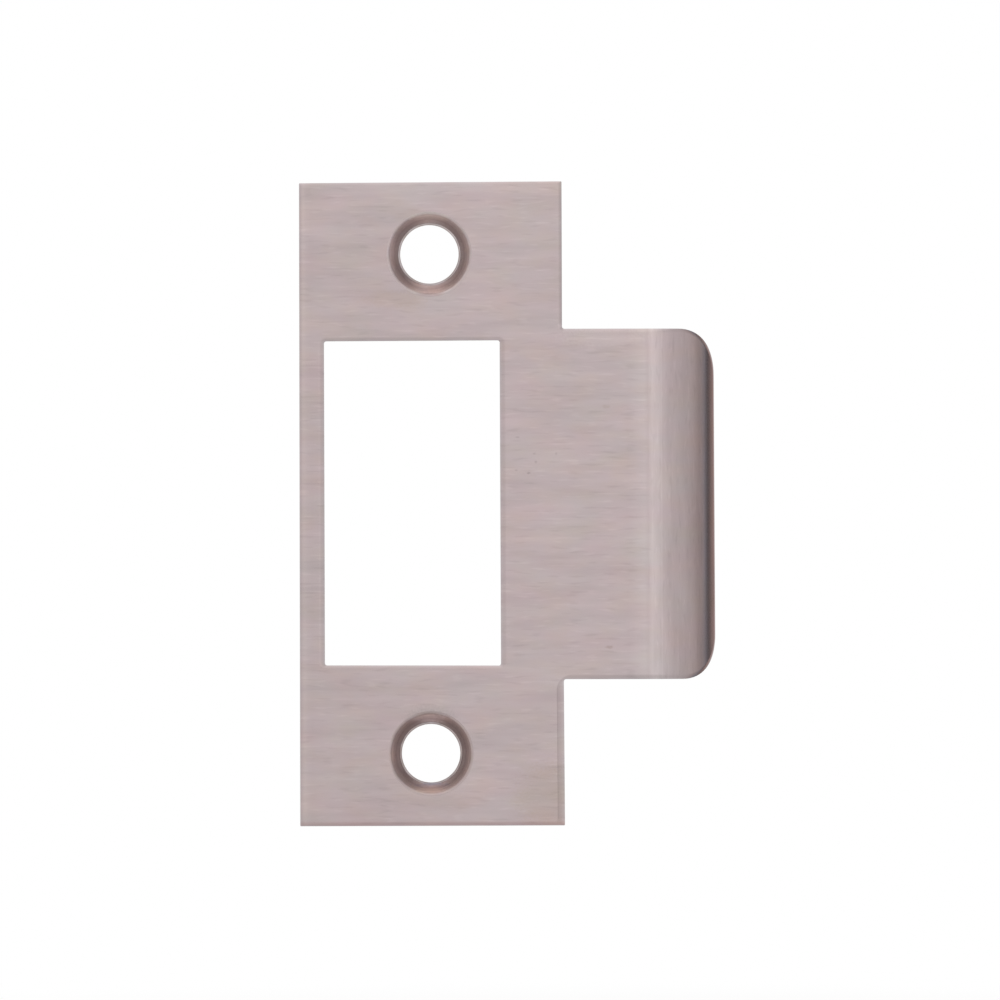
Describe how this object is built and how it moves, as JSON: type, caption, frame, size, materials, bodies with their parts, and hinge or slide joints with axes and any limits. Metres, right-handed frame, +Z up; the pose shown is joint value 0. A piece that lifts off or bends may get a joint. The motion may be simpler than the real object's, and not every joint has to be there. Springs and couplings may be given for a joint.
{
  "type": "door strike plate",
  "caption": "T-shaped brushed steel door strike plate with a rectangular latch opening, countersunk screw holes and a curved lip.",
  "frame": {"origin": "the point midway between the two screw holes, in the plane of the back face that lies against the door frame", "axes": "+Z up along the plate's long side, +X from the plate towards its lip, -Y out of the door frame: the visible front face is at y = -1.6 mm and the lip curls towards +Y"},
  "size_m": [0.0452, 0.0045, 0.0698],
  "materials": {
    "satin_steel": "satin"
  },
  "bodies": {
    "root": {"strike_plate": "satin_steel"}
  },
  "joints": []
}
